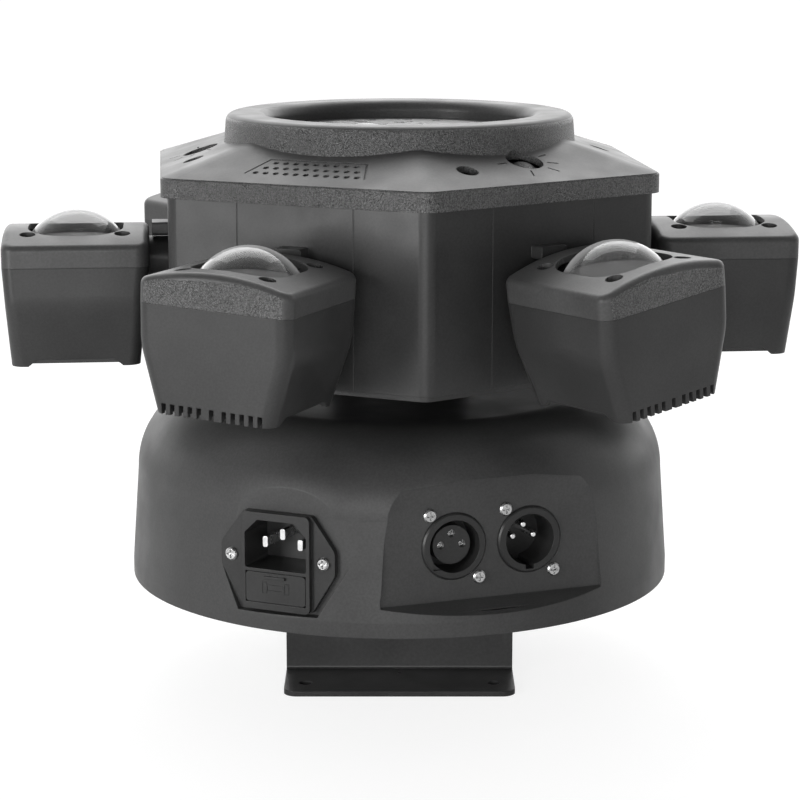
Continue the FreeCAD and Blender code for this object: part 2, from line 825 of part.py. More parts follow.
save("connector_contacts", Part.makeCompound(contacts))

# screws of the base
for side in (-1, 1):
    fasteners.append(turned(screw_out(inlet_head_r, inlet_t + side * inlet_ear_t, inlet_ear_z,
                                      inlet_d + inlet_flange, shank_length), inlet_turn))
for angle in post_turns:
    x, y = on_ring(post_ring_r, angle)
    under = screw(plate_head_r, post_screw_r, post_screw_depth)
    under.rotate(V(0, 0, 0), V(1, 0, 0), 180)
    under.translate(V(x, y, bracket_top))
    fasteners.append(under)
save("base_fasteners", Part.makeCompound(fasteners + bracket_nuts))

# rear window, buttons and control board
save("display_window", turned(facing(window_plan, window_corner, panel_d - window_thick, panel_d), panel_turn))
panel_inner = panel_d - base_wall
switch_front = board_front + switch_height
board = block(-board_half, board_half, board_front - board_thick, board_front, board_bottom, board_top)
features = [board, block(-display_half_t, display_half_t, board_front, board_front + display_height,
                         display_bottom, display_top),
            block(-board_chip_half, board_chip_half, board_front - board_thick - board_chip, board_front,
                  board_chip_low, board_chip_low + 2 * board_chip_half)]
for name, t in zip(["button_menu", "button_down", "button_up", "button_enter"], button_ts):
    cap = bolt(button_r, panel_inner - button_flange, panel_d + button_proud, t, button_z)
    tip = [e for e in cap.Edges if abs(e.BoundBox.YMin + panel_d + button_proud) < seat_fit
           and abs(e.BoundBox.YMax + panel_d + button_proud) < seat_fit]
    cap = cap.makeFillet(button_edge, tip)
    button = joined([cap, bolt(button_flange_r, panel_inner - button_flange, panel_inner, t, button_z),
                     bolt(button_stem_r, panel_inner - button_flange - button_stem, panel_inner, t, button_z)])
    save(name, turned(button, panel_turn))
    features.append(block(t - switch_half, t + switch_half, board_front, switch_front,
                          button_z - switch_half, button_z + switch_half))
save("control_board", turned(joined(features), panel_turn))

# power supply
supply_z = plate_top + supply_leg
supply = [box(supply_x0, supply_x1, supply_y0, supply_y1, supply_z, supply_z + board_thick)]
for x in (supply_x0 + supply_leg_inset, supply_x1 - supply_leg_inset):
    for y in (supply_y0 + supply_leg_inset, supply_y1 - supply_leg_inset):
        supply.append(rod(supply_leg_r, plate_top, supply_z, x, y))
supply.append(rod(supply_coil_r, supply_z, supply_z + supply_coil_h, supply_coil_x - supply_coil_r, supply_coil_y))
supply.append(rod(supply_can_r, supply_z, supply_z + supply_can_h, supply_can_x, supply_can_y))
sink = box(supply_sink_x0, supply_sink_x1, supply_sink_y0, supply_sink_y1, supply_z, supply_z + supply_sink_h)
y = supply_sink_y0 + supply_fin
while y + supply_fin < supply_sink_y1:
    sink = sink.cut(box(supply_sink_x0 + supply_fin, supply_sink_x1 + overrun, y, y + supply_fin,
                        supply_z + supply_fin_pitch, supply_z + supply_sink_h + overrun))
    y = y + supply_fin_pitch
supply.append(sink)
save("power_supply", joined(supply))

# pan motor, pulleys and belt
square = [(-motor_half, -motor_half), (motor_half, -motor_half), (motor_half, motor_half),
          (-motor_half, motor_half)]
waist = [(x - math.copysign(motor_groove, x), y - math.copysign(motor_groove, y)) for x, y in square]
motor = joined([slab(square, motor_corner, plate_top, plate_top + motor_cap),
                slab(waist, motor_corner, plate_top, motor_top),
                slab(square, motor_corner, motor_top - motor_cap, motor_top),
                rod(motor_shaft_r, plate_top, motor_shaft_top)])
motor.translate(V(motor_x, motor_y, 0))
save("pan_motor", motor)


def pulley(seat, bore, hub, hub_top):
    low = pulley_low + pulley_lip
    high = pulley_high - pulley_lip
    return spin([(bore, pulley_low), (seat + pulley_lip_r, pulley_low), (seat + pulley_lip_r, low),
                 (seat, low), (seat, high), (seat + pulley_lip_r, high), (seat + pulley_lip_r, pulley_high),
                 (hub, pulley_high), (hub, hub_top), (bore, hub_top)])


save("spindle_pulley", pulley(spindle_pulley_r, spindle_r + seat_fit, pulley_hub_r, bearing_z - running_fit))
small = pulley(motor_pulley_r, motor_shaft_r + running_fit, 3 * motor_shaft_r, motor_shaft_top - pulley_lip)
small.translate(V(motor_x, motor_y, 0))
save("motor_pulley", small)


def belt_solid(extra, z0, z1):
    span = math.hypot(motor_x, motor_y)
    big = spindle_pulley_r + extra
    little = motor_pulley_r + extra
    lean = math.degrees(math.acos((big - little) / span))
    heading = math.degrees(math.atan2(motor_y, motor_x))

    def at(cx, cy, r, a):
        return V(cx + r * math.cos(math.radians(a)), cy + r * math.sin(math.radians(a)), z0)

    a0 = heading + lean
    a1 = heading - lean
    edges = [Part.Arc(at(0, 0, big, a0), at(0, 0, big, heading + 180), at(0, 0, big, a1)).toShape(),
             Part.makeLine(at(0, 0, big, a1), at(motor_x, motor_y, little, a1)),
             Part.Arc(at(motor_x, motor_y, little, a1), at(motor_x, motor_y, little, heading),
                      at(motor_x, motor_y, little, a0)).toShape(),
             Part.makeLine(at(motor_x, motor_y, little, a0), at(0, 0, big, a0))]
    return Part.Face(Part.Wire(edges)).extrude(V(0, 0, z1 - z0))


belt_low = pulley_low + pulley_lip + belt_gap
belt_high = pulley_high - pulley_lip - belt_gap
belt = belt_solid(running_fit + belt_thick, belt_low, belt_high).cut(
    belt_solid(running_fit, belt_low - overrun, belt_high + overrun))
save("pan_belt", belt)

# bearing, slip ring and spindle
race_in = bearing_z + race_sink
race_top = bearing_top - race_sink
save("pan_bearing", spin([(spindle_r + running_fit, bearing_z), (race_in_r, bearing_z), (race_in_r, race_in),
                          (race_out_r, race_in), (race_out_r, bearing_z), (bearing_r, bearing_z),
                          (bearing_r, bearing_top), (race_out_r, bearing_top), (race_out_r, race_top),
                          (race_in_r, race_top), (race_in_r, bearing_top),
                          (spindle_r + running_fit, bearing_top)]))
save("slip_ring", spin([(0, plate_top), (slip_flange_r, plate_top), (slip_flange_r, plate_top + slip_flange),
                        (slip_r, plate_top + slip_flange), (slip_r, slip_top), (slip_core_r, slip_top),
                        (slip_core_r, slip_core_top), (0, slip_core_top)]))
save("pan_spindle", spin([(spindle_bore_r, pulley_low), (spindle_r, pulley_low),
                          (spindle_r, bearing_top + running_fit), (spindle_step_r, bearing_top + running_fit),
                          (spindle_step_r, neck_bottom), (neck_r, neck_bottom), (neck_r, floor_z),
                          (spindle_bore_r, floor_z)]))

# turning body: floor with six uprights, shell, motors
floor_top = floor_z + floor_thick
floor = [hexagon_slab(floor_apothem, floor_corner, floor_z, floor_top)]
for angle in arm_turns:
    upright = block(-upright_half, upright_half, upright_r, upright_r + upright_thick, floor_z, upright_top)
    upright = upright.cut(bolt(tilt_boss_r + loose_fit, upright_r - overrun, upright_r + overrun, 0, axis_z))
    floor.append(turned(upright, angle))
floor = joined(floor).cut(rod(spindle_bore_r, floor_z - overrun, floor_top + overrun))
column_spots = [on_ring(column_ring_r, rest_turn + side_step * k) for k in range(sides)]
for x, y in column_spots:
    floor = floor.cut(rod(column_screw_r + loose_fit, floor_z - overrun, floor_top + overrun, x, y))
save("rotor_floor", floor)

inner_apothem = body_apothem - body_wall
shell = hexagon_slab(body_apothem, body_corner, floor_top, body_top)
inside = hexagon_slab(inner_apothem, body_corner - body_wall, floor_top - overrun, body_top + overrun)
columns = []
for x, y in column_spots:
    columns.append(rod(column_r, floor_top, body_top, x, y).common(inside))
shell = shell.cut(inside)
lugs = []
shell_cuts = []
for angle in arm_turns:
    shell_cuts.append(turned(bolt(hub_r + free_gap, body_apothem - overrun, body_apothem + overrun, 0, axis_z),
                             angle))
for angle in face_turns:
    lug = facing([(-lug_half, lug_low), (-lug_half, lug_high), (lug_half, lug_high), (lug_half, lug_low)],
                 lug_corner, body_apothem - body_wall / 2, body_apothem + lug_out)
    lugs.append(turned(lug, angle))
    for side in (-1, 1):
        t = side * panel_line_half
        shell_cuts.append(turned(block(t - panel_line / 2, t + panel_line / 2, body_apothem - panel_line_deep,
                                       body_apothem + overrun, floor_top - overrun, body_top + overrun), angle))
for x, y in column_spots:
    shell_cuts.append(rod(column_screw_r, floor_top - overrun, floor_top + post_screw_depth, x, y))
shell = joined([shell] + columns).cut(shell_cuts)
save("rotor_shell", joined([shell] + lugs))

motors = []
tilt_square = [(-tilt_motor_half, axis_z - tilt_motor_half), (-tilt_motor_half, axis_z + tilt_motor_half),
               (tilt_motor_half, axis_z + tilt_motor_half), (tilt_motor_half, axis_z - tilt_motor_half)]
for angle in arm_turns:
    body = joined([facing(tilt_square, tilt_motor_corner, tilt_motor_back, upright_r),
                   bolt(tilt_boss_r, tilt_motor_back, upright_r + tilt_boss, 0, axis_z)])
    body = body.cut(bolt(motor_shaft_r + running_fit, tilt_shaft_back - seat_fit, upright_r + overrun, 0,
                         axis_z))
    motors.append(turned(body, angle))
save("tilt_motors", Part.makeCompound(motors))


# top cover
def facet_z(n):
    return slope_start_z + slope_share * (slope_start_apothem - n)


def slope_solid(apothem, corner, drop, low):
    end_z = facet_z(slope_end_apothem) - drop
    start_z = facet_z(apothem) - drop
    share = slope_end_apothem / apothem
    roof = Part.makeLoft([hexagon(apothem, corner, start_z), hexagon(slope_end_apothem, corner * share, end_z)],
                         True, True)
    return hexagon_slab(apothem, corner, low, start_z).fuse(roof)


skirt = hexagon_slab(lip_apothem, lip_corner, body_top, lip_top)
roof = slope_solid(slope_start_apothem, lip_corner, 0, body_top)
ring = Part.makeCone(ring_outer_low, ring_outer, ring_top - ring_foot_z, V(0, 0, ring_foot_z))
top_edge = [e for e in ring.Edges if abs(e.BoundBox.ZMin - ring_top) < seat_fit]
ring = ring.makeFillet(ring_round, top_edge)
cover = joined([skirt, roof, ring])
cover = cover.cut(rod(ring_inner, well_z, ring_top + overrun))
rim_edge = [e for e in cover.Edges if abs(e.BoundBox.ZMin - ring_top) < seat_fit
            and abs(e.BoundBox.XMax - ring_inner) < seat_fit]
cover = cover.makeFillet(ring_inner_round, rim_edge)
under = slope_solid(cover_inner_apothem, cover_inner_corner, cover_wall, body_top - overrun)
under = under.cut(rod(ring_outer_low - ring_wall, facet_z(ring_outer_low) - cover_wall * 2, ring_top + overrun))
under = under.fuse(rod(ring_outer_low - ring_wall, body_top, well_z - ring_wall))
under = under.fuse(rod(ring_outer - ring_wall, body_top, ring_top - ring_wall).cut(
    rod(ring_inner + ring_wall, body_top - overrun, ring_top + overrun)))
cover = cover.cut(under)
cover = cover.cut([rod(window_r + loose_fit, well_z - window_sink, well_z + overrun),
                   rod(well_open_r, body_top, well_z + overrun)])
stands = []
for k in range(stand_count):
    x, y = on_ring(board_stand_r, rest_turn + 360 / stand_count * k)
    stands.append(rod(board_stand, board_z + board_thick, well_z - ring_wall, x, y))
cover = joined([cover] + stands)


def on_facet(shape, k, t, n, turn=0):
    # piece drawn about the origin in the XY plane (x across, y inward) laid on facet k
    piece = shape.copy()
    piece.rotate(V(0, 0, 0), V(0, 0, 1), turn)
    piece.rotate(V(0, 0, 0), V(1, 0, 0), math.degrees(math.atan(slope_share)))
    piece.translate(V(t, -n, facet_z(n)))
    return turned(piece, face_turns[k])


marks = []
dot = rod(grille_r, -overrun, overrun)
for j in range(grille_rows):
    # each row has one hole less and starts half a step further in
    for i in range(grille_columns - j):
        t = grille_t0 + grille_pitch_t * (i + j / 2)
        marks.append(on_facet(dot, 0, t, grille_n0 - grille_pitch_n * j))


def stroke(k, t0, n0, t1, n1):
    length = math.hypot(t1 - t0, (n1 - n0) * math.sqrt(1 + slope_share ** 2))
    bar = box(-length / 2, length / 2, -engrave / 2, engrave / 2, -engrave_deep, overrun)
    turn = math.degrees(math.atan2((n0 - n1) * math.sqrt(1 + slope_share ** 2), t1 - t0))
    return on_facet(bar, k, (t0 + t1) / 2, (n0 + n1) / 2, turn)


corners = [(frame_t0, frame_n1), (frame_t1, frame_n1), (frame_t1 - frame_slant, frame_n0),
           (frame_t0 + frame_slant, frame_n0)]
for i in (1, 2, 3):
    marks.append(stroke(0, corners[i][0], corners[i][1], corners[(i + 1) % 4][0], corners[(i + 1) % 4][1]))
for k, spot in enumerate(dot_spots):
    if spot is not None:
        marks.append(on_facet(rod(dot_r, -overrun, overrun), k, spot[0], spot[1]))
for k, t, n in eye_spots:
    marks.append(on_facet(rod(eye_r, -overrun, overrun), k, t, n))
    for turn in ray_turns:
        c = math.cos(math.radians(turn))
        s = math.sin(math.radians(turn))
        marks.append(stroke(k, t + ray_in * c, n - ray_in * s, t + ray_out * c, n - ray_out * s))
cover = cover.cut(marks)
save("top_cover", cover)
save("top_window", rod(window_r, well_z - window_sink, well_z))
lamps = [rod(board_r, board_z, board_z + board_thick)]
for k in range(lamp_count):
    lamp = box(-lamp_half, lamp_half, -lamp_half, lamp_half, board_z, board_z + board_thick + lamp_height)
    x, y = on_ring(lamp_ring_r, 360 / lamp_count * k)
    lamp.translate(V(x, y, 0))
    lamps.append(lamp)
lamps.append(box(-2 * lamp_half, 2 * lamp_half, -2 * lamp_half, 2 * lamp_half, board_z,
                 board_z + board_thick + lamp_height))
save("effect_board", joined(lamps))


# heads
def barrel(inset, z0, z1, side_z0, side_z1):
    # tapering tub: side outline run outward, crossed with the end outline run across
    half = head_half - inset
    half_low = head_half_low - inset
    side = facing([(-half_low, head_low), (-half, head_bend_z), (-half, side_z1), (half, side_z1),
                   (half, head_bend_z), (half_low, head_low)], [0, head_bend_r, 0, 0, head_bend_r, 0],
                  head_in_top - overrun, head_out_top + overrun)
    end = along([(head_in_low + inset, side_z0), (head_in_top + inset, head_seam),
                 (head_in_top + inset, side_z1), (head_out_top - inset, side_z1),
                 (head_out_top - inset, head_seam),
                 (head_out_low - inset, side_z0)], 0, -head_half - overrun, head_half + overrun)
    body = side.common(end).common(block(-head_half - overrun, head_half + overrun, 0,
                                         head_out_top + overrun, z0, z1))
    upright_edges = []
    for e in body.Edges:
        b = e.BoundBox
        at_side = min(abs(b.XMin), abs(b.XMax)) > half_low - seat_fit
        at_end = b.YMax < -(head_out_low - inset) + seat_fit or b.YMin > -(head_in_low + inset) - seat_fit
        if at_side and at_end and b.ZMax - b.ZMin > seat_fit:
            upright_edges.append(e)
    return body.makeFillet(head_corner - inset, upright_edges)


tub = barrel(0, head_low, head_seam, head_low, head_seam + overrun)
tub_top = head_floor_z + head_floor
tub = tub.cut(barrel(head_wall, tub_top, head_seam + overrun, head_low, head_seam + 2 * overrun))
tub = tub.cut(barrel(head_wall, head_low, head_floor_z, head_low, head_seam + overrun))
notch_in = head_in_low + foot_length
notch_out = head_out_low - foot_length
for side in (-1, 1):
    t0 = side * (head_half_low - foot_recess)
    t1 = side * (head_half_low + overrun)
    tub = tub.cut(along([(notch_in - foot_slope, head_low - foot_notch), (notch_in - foot_slope, head_low),
                         (notch_in + foot_slope, head_low + foot_notch),
                         (notch_out - foot_slope, head_low + foot_notch), (notch_out + foot_slope, head_low),
                         (notch_out + foot_slope, head_low - foot_notch)], 0, min(t0, t1), max(t0, t1)))
vent_ts = [0]
for side in (-1, 1):
    for i in range(vents_each_side):
        vent_ts.append(side * (vent_gap + vent_pitch * i))
for t in vent_ts:
    tub = tub.cut(block(t - vent_half, t + vent_half, head_out_low - head_wall - vent_height,
                        head_out_top + overrun, head_low - overrun, head_low + vent_height))
posts = [bolt(tilt_seat_r, head_in_top, tilt_boss_out, 0, axis_z).common(
    barrel(0, head_low, head_seam, head_low, head_seam + overrun))]
for st in (-1, 1):
    for sd in (-1, 1):
        posts.append(rod(screw_post_r, head_floor_z, head_seam, st * screw_t, -(head_mid + sd * screw_d)))
tub = joined([tub] + posts)
for st in (-1, 1):
    for sd in (-1, 1):
        tub = tub.cut(rod(screw_pilot_r, head_seam - screw_pilot_depth, head_seam + overrun, st * screw_t,
                          -(head_mid + sd * screw_d)))
tub = tub.cut(bolt(hub_r + seat_fit, head_in_top - overrun, tilt_boss_out + overrun, 0, axis_z))


def crown(inset, side_z, top_z, edge, z0):
    # cover body with an arched top, long and end edges rounded
    half = head_half - inset
    face = Part.Face(Part.Wire([Part.makeLine(V(-half, 0, z0), V(half, 0, z0)),
                                Part.makeLine(V(half, 0, z0), V(half, 0, side_z)),
                                Part.Arc(V(half, 0, side_z), V(0, 0, top_z), V(-half, 0, side_z)).toShape(),
                                Part.makeLine(V(-half, 0, side_z), V(-half, 0, z0))]))
    face.translate(V(0, -(head_in_top + inset), 0))
    body = face.extrude(V(0, -(head_out_top - head_in_top - 2 * inset), 0))
    body = body.makeFillet(head_corner - inset, [e for e in body.Edges if e.BoundBox.ZMin < z0 + seat_fit
                                                 and e.BoundBox.ZMax > side_z - seat_fit
                                                 and e.BoundBox.ZMax < side_z + seat_fit
                                                 and e.BoundBox.YLength < seat_fit])
    top = [e for e in body.Edges if e.BoundBox.ZMin > side_z - 2 * edge and e.BoundBox.ZMax > side_z - seat_fit]
    return body.makeFillet(edge, top)


lid = crown(0, crown_side_z, crown_top_z, crown_edge, head_seam)
lid_hollow = crown(head_wall, cover_hollow_side_z, cover_hollow_top_z, cover_hollow_edge, head_seam - overrun)
bosses = []
for st in (-1, 1):
    for sd in (-1, 1):
        boss = rod(screw_boss_r, head_seam, crown_top_z, st * screw_t, -(head_mid + sd * screw_d))
        bosses.append(boss.common(lid))
bosses.append(bolt(tilt_seat_r, head_in_top, tilt_boss_out, 0, axis_z).common(lid))
lid = joined([lid.cut(lid_hollow)] + bosses)
lens_plan = [(-lens_half, -head_mid - lens_half), (lens_half, -head_mid - lens_half),
             (lens_half, -head_mid + lens_half), (-lens_half, -head_mid + lens_half)]
lid_cuts = [bolt(hub_r + seat_fit, head_in_top - overrun, tilt_boss_out + overrun, 0, axis_z),
            slab(lens_plan, lens_corner, head_seam - overrun, crown_top_z + overrun)]
for st in (-1, 1):
    for sd in (-1, 1):
        y = -(head_mid + sd * screw_d)
        lid_cuts.append(rod(screw_sink_r, screw_seat_z, crown_top_z + overrun, st * screw_t, y))
        lid_cuts.append(rod(screw_hole_r, head_seam - overrun, crown_top_z, st * screw_t, y))
lid = lid.cut(lid_cuts)

fins = [rod(sink_core_r, tub_top, sink_top)]
z = tub_top
while z + sink_fin <= sink_top:
    fins.append(rod(sink_r, z, z + sink_fin))
    z = z + sink_fin + sink_fin_gap
board_top_z = sink_top + led_board
fins.append(rod(led_board_r, sink_top, board_top_z))
fins.append(box(-chip_half, chip_half, -chip_half, chip_half, board_top_z, board_top_z + chip))
cup = spin([(cup_throat_r, board_top_z), (cup_r, board_top_z), (cup_r, cup_top), (cup_mouth_r, cup_top)])
module = joined(fins + [cup])
module.translate(V(0, -head_mid, 0))

flange_top = cup_top + lens_flange
arch_r = (lens_cap_r ** 2 + lens_cap_rise ** 2) / (2 * lens_cap_rise)
dome = Part.makeSphere(arch_r, V(0, 0, flange_top + lens_cap_rise - arch_r)).common(
    rod(lens_cap_r, flange_top, flange_top + 2 * lens_cap_rise))
lens = joined([rod(lens_cap_r, cup_top, flange_top), dome])
lens.translate(V(0, -head_mid, 0))

tilt = joined([bolt(motor_shaft_r, tilt_shaft_back, tilt_boss_out, 0, axis_z),
               bolt(hub_r, hub_back, tilt_boss_out + tilt_flange, 0, axis_z),
               bolt(tilt_flange_r, tilt_boss_out, tilt_boss_out + tilt_flange, 0, axis_z)])

for k in range(sides):
    for name, shape in (("head_shell", tub), ("head_cover", lid), ("led_module", module), ("lens", lens),
                        ("tilt_spindle", tilt)):
        save(name + "_" + str(k + 1), turned(rolled(shape, arm_rolls[k]), arm_turns[k]))
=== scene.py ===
import json
import math

import bmesh
import bpy
from mathutils import Matrix, Vector


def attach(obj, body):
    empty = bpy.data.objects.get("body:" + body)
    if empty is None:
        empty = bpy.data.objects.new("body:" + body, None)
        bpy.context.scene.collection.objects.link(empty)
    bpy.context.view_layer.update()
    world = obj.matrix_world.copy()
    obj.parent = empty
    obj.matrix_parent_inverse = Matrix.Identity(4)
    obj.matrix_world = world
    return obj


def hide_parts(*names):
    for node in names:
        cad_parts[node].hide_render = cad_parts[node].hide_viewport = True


# Six-arm effect light: looks, light and camera. Metres, X right, Y to the back, Z up.

MM = 0.001

# directions around the light and rolls of the heads, in degrees
arm_count = 6
arm_step = 60
rest_turn = 5.4
front_right_extra = 2.2
arm_turns = [rest_turn + arm_step * (k - 0.5) for k in range(arm_count)]
arm_turns[1] += front_right_extra
arm_rolls = [-2.6, 7.7, 0, 0, 0, 0]
inlet_turn = -24

# grained faces of the covers, in millimetres and shares
lid_slope_share = 0.6
lid_grain_inside = 58
lid_grain_bottom = 190.9
end_face_share = 0.9
end_grain_top = 172

# cover screws, in millimetres and degrees
tilt_height = 162.2
head_mid = 123.5
screw_out = 17.6
screw_across = 16.0
screw_seat = 170.0
screw_head_r = 2.6
screw_head_high = 1.6
screw_rounding = 0.7
shank_r = 1.5
shank_long = 6.0
cross_long = 3.0
cross_wide = 0.62
cross_floor = 0.7
cross_tool_high = 2.0
first_spin = 20
spin_step = 37

# domes behind the holes of the lid, in millimetres
dome_r = 7.0
dome_cut = 3.4
dome_rim_r = 8.6
dome_rim_high = 1.2
dome_rim_top = 3.5
dome_sink = 0.8
lid_slope = 0.33
lid_edge_out = 90.7
lid_edge_height = 198.0
# direction in degrees, place across and outward
sensor_spots = [(rest_turn + 30, 3.5, 72.8), (rest_turn - 90, 0.0, 75.9)]

# dark flat cap on the floor of the recess, in millimetres and shares of a dome
cap_place = Vector((-13.0, 8.0, 211.6))
cap_wide = 1.35
cap_flat = 0.35

# fuse outline on the drawer, in millimetres
drawer_across = -2.0
drawer_face = 104.4
mark_height = 54.8
mark_line = 0.32
mark_raised = 0.12
fuse_cap_in = 3.4
fuse_cap_out = 5.4
fuse_cap_half = 2.1
fuse_tube_out = 3.45
fuse_tube_half = 1.2

# edges flatter than these angles are shaded smooth
screw_smooth = 35
dome_smooth = 30

# surroundings
floor_size = 12.0
paper_scale = 3.0
paper_tones = (0.86, 0.9)
paper_rough = 0.9
paper_glow = 1.25
paper_glow_share = 0.65
room_front = 0.2
room_back = 2.2
room_front_y = -0.05
room_back_y = 0.9

# camera, fitted to the photograph
photo_width = 800
focal_pixels = 2485.3
film_width = 36
far_end = 50
camera_place = (0.0002, -0.9513, 0.298)
camera_pitch = 0.2008

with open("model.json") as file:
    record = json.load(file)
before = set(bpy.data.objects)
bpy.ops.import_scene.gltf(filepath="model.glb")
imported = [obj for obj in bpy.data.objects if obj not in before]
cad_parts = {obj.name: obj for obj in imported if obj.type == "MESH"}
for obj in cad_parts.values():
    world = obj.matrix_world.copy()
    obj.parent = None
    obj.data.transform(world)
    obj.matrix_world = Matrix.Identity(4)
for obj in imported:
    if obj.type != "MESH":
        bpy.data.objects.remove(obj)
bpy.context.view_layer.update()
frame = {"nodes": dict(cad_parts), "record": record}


# node helpers
def new_material(name):
    material = bpy.data.materials.new(name)
    material.use_nodes = True
    tree = material.node_tree
    tree.nodes.clear()
    surface = tree.nodes.new("ShaderNodeBsdfPrincipled")
    output = tree.nodes.new("ShaderNodeOutputMaterial")
    tree.links.new(surface.outputs["BSDF"], output.inputs["Surface"])
    return material, tree, surface


def noise(tree, scale, detail=3.0):
    texture = tree.nodes.new("ShaderNodeTexNoise")
    texture.inputs["Scale"].default_value = scale
    texture.inputs["Detail"].default_value = detail
    place = tree.nodes.new("ShaderNodeTexCoord").outputs["Object"]
    tree.links.new(place, texture.inputs["Vector"])
    return texture.outputs["Fac"]


def spread(tree, value, low, high, start=0.35, end=0.65):
    # carry the part of a pattern between start and end over to the range from low to high
    node = tree.nodes.new("ShaderNodeMapRange")
    node.inputs["From Min"].default_value = start
    node.inputs["From Max"].default_value = end
    node.inputs["To Min"].default_value = low
    node.inputs["To Max"].default_value = high
    tree.links.new(value, node.inputs["Value"])
    return node.outputs["Result"]


def joined(tree, operation, a, b):
    node = tree.nodes.new("ShaderNodeMath")
    node.operation = operation
    tree.links.new(a, node.inputs[0])
    tree.links.new(b, node.inputs[1])
    return node.outputs["Value"]


def relief(tree, surface, height, depth, strength, edge):
    # surface relief on top of softly rounded edges
    rounded = tree.nodes.new("ShaderNodeBevel")
    rounded.samples = 4
    rounded.inputs["Radius"].default_value = edge
    bump = tree.nodes.new("ShaderNodeBump")
    bump.inputs["Strength"].default_value = strength
    bump.inputs["Distance"].default_value = depth
    tree.links.new(height, bump.inputs["Height"])
    tree.links.new(rounded.outputs["Normal"], bump.inputs["Normal"])
    tree.links.new(bump.outputs["Normal"], surface.inputs["Normal"])


def moulded(name, tone, rough, grain, depth, strength, edge=0.0005, gloss=0.32, speck=0.1):
    # black moulded plastic: cloudy tone, uneven gloss, fine grain
    cloud_scale, cloud_detail, cloud_share = 22.0, 4.0, 0.18
    sheen_scale, sheen_detail, sheen_share = 60.0, 5.0, 0.05
    speck_scale, fine_detail = 0.7, 2.0
    material, tree, surface = new_material(name)
    clouds = spread(tree, noise(tree, cloud_scale, cloud_detail), tone * (1 - cloud_share),
                    tone * (1 + cloud_share))
    specks = spread(tree, noise(tree, grain * speck_scale, fine_detail), 1 - speck, 1 + speck)
    tree.links.new(joined(tree, "MULTIPLY", clouds, specks), surface.inputs["Base Color"])
    sheen = spread(tree, noise(tree, sheen_scale, sheen_detail), rough - sheen_share, rough + sheen_share)
    tree.links.new(sheen, surface.inputs["Roughness"])
    surface.inputs["Specular IOR Level"].default_value = gloss
    relief(tree, surface, noise(tree, grain, fine_detail), depth, strength, edge)
    return material


def metal(name, tone, rough, grain):
    # bare metal with a slightly uneven tone and sheen
    tone_scale, tone_share = 120.0, 0.1
    sheen_scale, sheen_under, sheen_over = 400.0, 0.06, 0.08
    fine_detail, depth, strength, edge = 2.0, 0.00004, 0.25, 0.0002
    material, tree, surface = new_material(name)
    shade = spread(tree, noise(tree, tone_scale), tone * (1 - tone_share), tone * (1 + tone_share))
    tree.links.new(shade, surface.inputs["Base Color"])
    surface.inputs["Metallic"].default_value = 1.0
    sheen = spread(tree, noise(tree, sheen_scale), rough - sheen_under, rough + sheen_over)
    tree.links.new(sheen, surface.inputs["Roughness"])
    relief(tree, surface, noise(tree, grain, fine_detail), depth, strength, edge)
    return material


def glass_sheen(tree, surface, rough, uneven):
    sheen_scale = 150.0
    sheen = spread(tree, noise(tree, sheen_scale), rough * (1 - uneven), rough * (1 + uneven))
    tree.links.new(sheen, surface.inputs["Roughness"])


def domed(name, tone, rough):
    # clear dome that looks greyer straight through, with a painted reflection that lightens its colour along
    # the rim
    haze_scale, haze_detail, haze_share = 30.0, 2.0, 0.04
    cover_middle, cover_rim, cover_start, cover_end = 0.35, 1.0, 0.2, 1.0
    rim_reflection_paint, rim_start, rim_end = 9, 0.45, 1.0
    gloss, uneven = 0.9, 0.3
    material, tree, surface = new_material(name)
    layer = tree.nodes.new("ShaderNodeLayerWeight")
    layer.inputs["Blend"].default_value = 0.5
    rim = layer.outputs["Facing"]
    haze = spread(tree, noise(tree, haze_scale, haze_detail), 1 - haze_share, 1 + haze_share)
    cover = spread(tree, rim, cover_middle, cover_rim, cover_start, cover_end)
    tree.links.new(joined(tree, "MULTIPLY", cover, haze), surface.inputs["Alpha"])
    # painted reflection: the base colour is lifted toward the rim to stand in for the shine along the dome's
    # edge
    shade = spread(tree, rim, tone, tone * rim_reflection_paint, rim_start, rim_end)
    tree.links.new(shade, surface.inputs["Base Color"])
    surface.inputs["Specular IOR Level"].default_value = gloss
    glass_sheen(tree, surface, rough, uneven)
    return material


def clear(name, tone, rough, ior, passing=1.0):
    # glass or frosted plastic that lets a share of the light pass
    uneven = 0.5
    material, tree, surface = new_material(name)
    surface.inputs["Base Color"].default_value = (tone, tone, tone, 1)
    surface.inputs["Transmission Weight"].default_value = passing
    surface.inputs["IOR"].default_value = ior
    glass_sheen(tree, surface, rough, uneven)
    return material


satin = moulded("satin_black", tone=0.03, rough=0.38, grain=1900.0, depth=0.00003, strength=0.25)
body_plastic = moulded("body_plastic", tone=0.03, rough=0.36, grain=1700.0, depth=0.00003, strength=0.3)
cover_smooth = moulded("cover_smooth", tone=0.055, rough=0.4, grain=1500.0, depth=0.00003, strength=0.3)
cover_grained = moulded("cover_grained", tone=0.055, rough=0.3, grain=2600.0, depth=0.0004, strength=1.0,
                        gloss=0.6, speck=0.8)
base_plastic = moulded("base_plastic", tone=0.042, rough=0.42, grain=1700.0, depth=0.00004, strength=0.35)
connector_plastic = moulded("connector_plastic", tone=0.022, rough=0.34, grain=1500.0, depth=0.00003,
                            strength=0.25, edge=0.0003)
inner_plastic = moulded("inner_plastic", tone=0.04, rough=0.5, grain=1200.0, depth=0.00004, strength=0.3,
                        edge=0.0003)
rubber = moulded("button_rubber", tone=0.045, rough=0.7, grain=1400.0, depth=0.00005, strength=0.4,
                 edge=0.0003, gloss=0.25)
painted_steel = moulded("painted_steel", tone=0.03, rough=0.33, grain=1100.0, depth=0.00006, strength=0.3,
                        edge=0.0004, gloss=0.4)
board = moulded("circuit_board", tone=0.05, rough=0.4, grain=900.0, depth=0.00005, strength=0.3, edge=0.0002)
